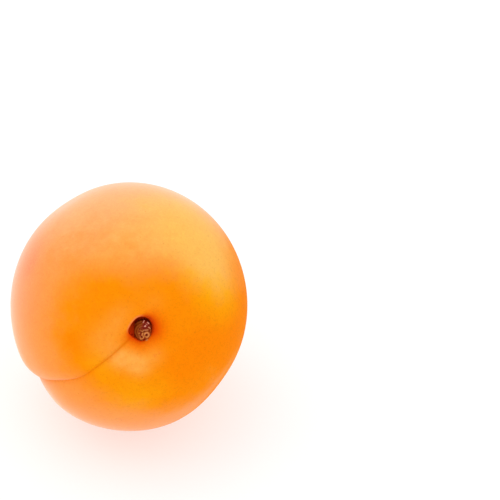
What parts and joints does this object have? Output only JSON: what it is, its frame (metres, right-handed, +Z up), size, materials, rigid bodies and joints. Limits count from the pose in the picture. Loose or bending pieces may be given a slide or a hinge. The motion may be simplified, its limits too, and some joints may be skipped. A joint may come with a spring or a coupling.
{
  "type": "apricot",
  "caption": "Whole ripe apricot lying on a small flat spot, with a suture crease from its stalk cup to its tip and the dried stub of its stalk in the cup.",
  "frame": {"origin": "on the floor under the middle of the fruit, at the bottom centre of its bounding box", "axes": "+Z up from the floor; the stalk axis lies in the plane X = 0 and rises about 28 degrees towards -Y; the suture runs low on the -X side"},
  "size_m": [0.049, 0.0542, 0.0523],
  "materials": {
    "skin": "downy orange fruit skin, matt, paler at grazing angles",
    "dried_stub": "dry, corky and rough"
  },
  "bodies": {
    "root": {"fruit": "skin", "stem_stub": "dried_stub"}
  },
  "joints": []
}
